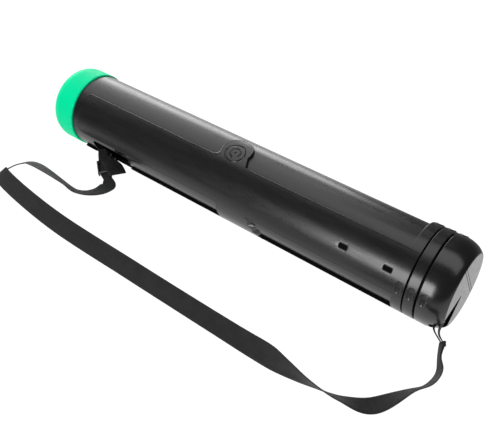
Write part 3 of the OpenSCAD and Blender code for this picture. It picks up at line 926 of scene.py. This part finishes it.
def ease(values, times):
    """Takes the corners off a sampled line without moving its ends."""
    for _ in range(times):
        values[1:-1] = (values[:-2] + 2 * values[1:-1] + values[2:]) / 4
    return values


RIB_PITCH, RIB_DEPTH = 1.5 * MM, 0.10 * MM
EASING = 60                              # times that a line's corners are taken off


def webbing_section():
    """Half sizes round the webbing: across from -1 to 1 and back, with rounded edges."""
    across = np.linspace(-1, 1, 15)
    top = np.column_stack([across, (1 - np.abs(across) ** 14) ** 0.5 * 0.6 + 0.4])
    return np.concatenate([top, top[::-1] * (1, -1)])


def ribbon(name, line, widths, breadth, thickness, closed=False):
    """Woven webbing along a line: cross ribs on both faces and a rounded selvedge.
    widths is its direction across and breadth its width at each point. thickness is one
    number or one for each point."""
    thickness = np.full(len(line), thickness) if np.isscalar(thickness) else thickness
    extras = [widths, np.column_stack([breadth, thickness])]
    at, (line, widths, size) = even(line, extras, RIB_PITCH / 4)
    if closed:
        t = unit(np.roll(line, -1, 0) - np.roll(line, 1, 0))
        t[0] = t[-1] = unit(line[1] - line[-2])
    else:
        line = ease(line, EASING)
        widths = ease(widths, EASING)
        t = unit(np.gradient(line, axis=0))
    side = unit(widths - (widths * t).sum(-1, keepdims=True) * t)
    out = np.cross(side, t)
    section = webbing_section()
    across, face = section[None, :, 0], section[None, :, 1]
    # neighbouring ribs are set off a little, and fade out towards the edges
    phase = 2 * math.pi * at[:, None] / RIB_PITCH + (np.arange(len(section)) % 2)[None, :] * 0.9
    rib = RIB_DEPTH * np.sin(phase) * (1 - np.abs(across) ** 8) * np.sign(face)
    u = across * size[:, :1] / 2
    v = face * size[:, 1:2] / 2 + rib
    grid = line[:, None] + u[..., None] * side[:, None] + v[..., None] * out[:, None]
    if closed:
        grid = grid[:-1]
    return grid_piece(name, grid, webbing_black, closed, True, caps=not closed, sharp=60)


def climb_frame():
    """Directions along, across and off the webbing where it climbs to the pin."""
    yaw, pitch = math.radians(CLIMB_YAW), math.radians(CLIMB_PITCH)
    t = np.array([math.cos(pitch) * math.cos(yaw), math.cos(pitch) * math.sin(yaw), math.sin(pitch)])
    across = width_at(t[None, :], np.array([CLIMB_LEAN]))[0]
    return t, across, np.cross(across, t)


def pin_point():
    """Where the webbing goes round the rail pin."""
    return around(WELL_X0 + 10.5 * MM, PIN_AXIS_R, PIN_ANGLE)


def strap_size(length, neck_at):
    """Breadth and thickness along the strap. It is gathered at the end cap, folded at the
    pin, and pinched where it turns over below the slider."""
    gather = smooth((length - 18 * MM) / (44 * MM))
    breadth = STRAND_W + (WEBBING_W - STRAND_W) * gather
    fold = smooth((length - length[-1] + 24 * MM) / (16 * MM))
    breadth = breadth - (WEBBING_W - FOLDED_W) * fold
    breadth = breadth * (1 - 0.5 * np.exp(-((length - neck_at) / (11 * MM)) ** 2))
    thickness = WEBBING_T * (1 + 0.9 * (1 - smooth(length / (38 * MM))))
    return breadth, thickness


def build_strap():
    """One run from the end cap along the floor and up through the slider to the pin."""
    climb, climb_across, climb_out = climb_frame()
    curve = spline(strap_knots(), 16)
    line = knot_place(curve)
    travel = unit(np.gradient(line, axis=0))
    widths = width_at(travel, curve[:, 2])
    pin = pin_point()
    along_x = np.array([1.0, 0, 0])
    approach = unit(climb - climb[0] * along_x)
    # it turns on its edge, then goes up through the slider to the pin
    neck_lean = 15
    neck = width_at(climb[None, :], np.array([neck_lean]))[0]
    ends = [SLIDER_AT - 21 * MM * climb, SLIDER_AT - 12 * MM * climb, SLIDER_AT,
            SLIDER_AT + 12 * MM * climb, pin - 3 * MM * approach]
    line = np.concatenate([line, ends])
    widths = np.concatenate([widths, [neck, 0.5 * neck + climb_across, climb_across,
                                      climb_across, along_x]])
    length = run_length(line)
    breadth, thickness = strap_size(length, length[-len(ends)])
    strap = ribbon("strap_webbing", line, widths, breadth, thickness)
    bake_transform(strap)
    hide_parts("strap")
    return climb, climb_across, climb_out, pin


def build_cap_loop():
    """Webbing round the end cap's bar: two strands that meet where the strap is sewn."""
    gap, t = 0.5 * MM, 1.4 * MM
    low, high = BAR_X0 - gap - t / 2, BAR_X1 + gap + t / 2
    inside = BAR_R - gap - t / 2
    path = [(low, inside + 1.5 * MM, 0), (low + 1.5 * MM, inside, 0), (high - 1.5 * MM, inside, 0),
            (high, inside + 1.5 * MM, 0), (high, COLLAR_R - 4 * MM, 0),
            (high + 2.5 * MM, COLLAR_R + 2 * MM, -4 * MM), (6 * MM, COLLAR_R + 7.5 * MM, -12 * MM),
            (5.5 * MM, COLLAR_R + 10 * MM, -16 * MM), (3.6 * MM, COLLAR_R + 8 * MM, -12 * MM),
            (low + 4 * MM, COLLAR_R + 1 * MM, -4 * MM), (low, COLLAR_R - 6 * MM, 0),
            (low, inside + 1.5 * MM, 0)]
    line = spline(np.array([along(*p) for p in path]), 10)
    side = np.tile(np.array(along(0, 0, 1)), (len(line), 1))
    rise = np.hypot(line[:, 1], line[:, 2]) - COLLAR_R
    breadth = GATHERED_W - (GATHERED_W - STRAND_W) * smooth(rise / (8 * MM))
    loop = ribbon("strap_cap_loop", line, side, breadth, t, closed=True)
    assign(loop, "inner")


def build_tail(climb, across, out, pin):
    """The webbing's end: round the pin, back over the slider, and a square-cut tail that
    splays away from the strap towards the end cap."""
    r = PIN_R + 0.5 * MM + WEBBING_T / 2
    axis = np.array([1.0, 0, 0])
    back = unit(climb - climb[0] * axis)
    up = np.cross(axis, back)
    up = up if np.dot(up, out) > 0 else -up
    ring = np.array([pin + r * (math.cos(a) * back + math.sin(a) * up)
                     for a in np.radians(np.linspace(-110, 110, 15))])
    # each is how far down the strap, off it and to the side the tail's middle is
    tail = [SLIDER_AT - MM * (down * climb - off * out - aside * across)
            for down, off, aside in ((-13, 2.4, 1), (-3, 4.4, 6), (8.5, 5.5, 12.5), (22.5, 6.5, 16))]
    turned_across = unit(0.6 * across - 0.25 * out + 0.26 * climb)
    line = np.concatenate([ring, tail])
    widths = np.concatenate([np.tile(axis, (len(ring), 1)), [across, unit(across + turned_across),
                                                            turned_across, turned_across]])
    breadth = np.concatenate([np.full(len(ring), FOLDED_W),
                              [FOLDED_W + 4 * MM, 20 * MM, WEBBING_W, WEBBING_W]])
    piece = ribbon("strap_tail", spline(line, 4), spline(widths, 4),
                   spline(breadth[:, None], 4)[:, 0], WEBBING_T)
    assign(piece, "outer")


def box_mesh(centre, size, material):
    """Mesh of a box with its middle at centre."""
    work = bmesh.new()
    bmesh.ops.create_cube(work, size=1)
    matrix = Matrix.Translation(centre) @ Matrix.Diagonal((*size, 1))
    bmesh.ops.transform(work, matrix=matrix, verts=work.verts)
    mesh = bpy.data.meshes.new("slider_bar")
    work.to_mesh(mesh)
    work.free()
    mesh.materials.append(material)
    return mesh


def build_slider(climb, across, out):
    """Slider of two side rails joined by three bars, one of them on its far face."""
    middle = SLIDER_AT + 2.5 * MM * across
    place = Matrix([[-climb[i], across[i], out[i], middle[i]] for i in range(3)] + [[0, 0, 0, 1]])
    length, width, rail = 24 * MM, WEBBING_W + 4.4 * MM, 2 * MM
    bar_l, bar_w = 4 * MM, width - 2 * MM
    thick, gap = 1.9 * MM, WEBBING_T / 2 + 0.4 * MM
    parts = []
    for s in (-1, 1):
        parts.append(((0, s * (width - rail) / 2, 0), (length, rail, 2 * (gap + thick))))
        parts.append(((s * (length - bar_l) / 2, 0, gap + thick / 2), (bar_l, bar_w, thick)))
    parts.append(((0, 0, -gap - thick / 2), (bar_l, bar_w, thick)))
    slider = None
    for centre, size in parts:
        bar = new_object("slider_frame" if slider is None else "slider_bar",
                         box_mesh(centre, size, slider_black))
        if slider is None:
            slider = bar
        else:
            combine(slider, bar, "UNION")
    modify(slider, "BEVEL", width=0.7 * MM, segments=4, limit_method="ANGLE",
           angle_limit=math.radians(50))
    slider.data.transform(place)
    apply_modifiers(slider)
    assign(slider, "slider", "strap_slider")


# ---- carried-over CAD nodes ------------------------------------------------------------


def paint_nodes():
    """Materials for the nodes that keep the frame's own shape."""
    paints = {"rail_pin": plain_steel, "ring_clip": plain_steel, "guide_sleeve": sleeve_black,
              "clamp_collet": nylon_grey, "stop_ring": nylon_grey, "inner_tube": inner_black,
              "end_disc": inner_black, "end_pad": foam_grey, "lid_pad": foam_grey, "lid_gasket": rubber}
    for node, material in paints.items():
        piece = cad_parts[node]
        piece.data.materials.clear()
        piece.data.materials.append(material)


# ---- stage, light and camera -----------------------------------------------------------


def floor_material():
    """The floor glows. To the camera it is evenly white. Its glow in reflections, and as light
    on the tube, is a painted pattern: it fades away in front of the tube, and behind it on the
    end cap's side."""
    n = Nodes("floor_white")
    n.set(Roughness=0.9, Specular_IOR_Level=0.0)
    n.shader.inputs["Emission Color"].default_value = (1, 1, 1, 1)
    n.colours(n.noise(3), (0.10, 0.10, 0.10), (0.12, 0.12, 0.12))
    split = n.add("ShaderNodeSeparateXYZ")
    n.link(n.place, split.inputs[0])
    x, y = split.outputs["X"], split.outputs["Y"]
    # painted glow: in front of the tube, from y = -0.50 to -0.10 m, it rises from 0.08 to 0.90
    fade = n.add("ShaderNodeMapRange", interpolation_type="SMOOTHSTEP")
    for index, end in enumerate((-0.50, -0.10, 0.08, 0.90), 1):
        fade.inputs[index].default_value = end
    n.link(y, fade.inputs[0])
    # behind it, the edge of the dim part of the painted glow runs on a slant across the floor
    station = n.math("MULTIPLY_ADD", y, 0.51, x)
    beyond = n.math("MULTIPLY", n.spread(station, 0, 1, -0.12, 0.0), n.spread(y, 0, 1, 0.12, 0.22))
    painted_glow = n.math("MULTIPLY", fade.outputs[0], n.spread(beyond, 1, 0.08, 0, 1))
    # the camera sees plain white; every other ray sees the painted glow
    camera_ray = n.add("ShaderNodeLightPath").outputs["Is Camera Ray"]
    n.link(n.math("MAXIMUM", painted_glow, camera_ray), n.shader.inputs["Emission Strength"])
    return n.material


def build_stage():
    """A pale floor just under the tube."""
    work = bmesh.new()
    bmesh.ops.create_grid(work, x_segments=1, y_segments=1, size=6)
    mesh = bpy.data.meshes.new("floor")
    work.to_mesh(mesh)
    work.free()
    mesh.materials.append(floor_material())
    floor = new_object("floor", mesh)
    floor.location.z = -COLLAR_R - 0.2 * MM


def area_light(name, place, target, size, power):
    """A rectangular lamp at a place, turned towards a target, with its power in watts."""
    data = bpy.data.lights.new(name, "AREA")
    data.shape = "RECTANGLE"
    data.size, data.size_y = size
    data.energy = power
    light = new_object(name, data)
    light.location = place
    light.rotation_euler = (Vector(target) - Vector(place)).to_track_quat("-Z", "Y").to_euler()
    return light


def build_lights():
    """A strip overhead, a panel and a wall of light behind on the lid's side, a soft box
    low in front, a panel beyond the lid, and a fill that glossy surfaces don't mirror."""
    area_light("top_strip", (-0.3, 0.165, 1.35), (-0.3, 0.165, 0), (3.6, 0.93), 16.7)
    area_light("top_panel", (-2.25, 1.20, 1.35), (-2.25, 1.20, 0), (3.2, 1.15), 20)
    area_light("back_wall", (-2.74, 2.16, 0.75), (-0.6, 0, 0.3), (3.7, 1.3), 75)
    area_light("front_box", (-0.30, -1.50, 0.33), (-0.14, 0, 0), (0.70, 0.70), 15)
    area_light("lid_panel", (-2.1, -0.2, 0.8), (-0.5, 0, 0), (1.0, 0.9), 4)
    fill = area_light("front_fill", (-0.9, -1.7, 1.7), (-0.4, 0, 0), (1.6, 1.6), 9)
    fill.visible_glossy = False
    world = bpy.data.worlds.new("studio")
    world.use_nodes = True
    world.node_tree.nodes["Background"].inputs["Color"].default_value = (1, 1, 1, 1)
    world.node_tree.nodes["Background"].inputs["Strength"].default_value = 0.10
    bpy.context.scene.world = world
    bpy.context.scene.view_settings.view_transform = "Standard"


def build_camera():
    """Level camera that looks down on the tube from the end cap's front side."""
    data = bpy.data.cameras.new("camera")
    data.sensor_width = 36
    data.lens = 52.86
    camera = new_object("camera", data)
    camera.location = (0.1340, -0.5716, 0.6031)
    camera.rotation_euler = (math.radians(47.738), 0, math.radians(37.569))
    bpy.context.scene.camera = camera


build_outer_tube()
build_lock_ring()
build_end_cap()
build_lid()
build_rail()
strap_frame = build_strap()
build_cap_loop()
build_tail(*strap_frame)
build_slider(*strap_frame[:3])
paint_nodes()
build_stage()
build_lights()
build_camera()
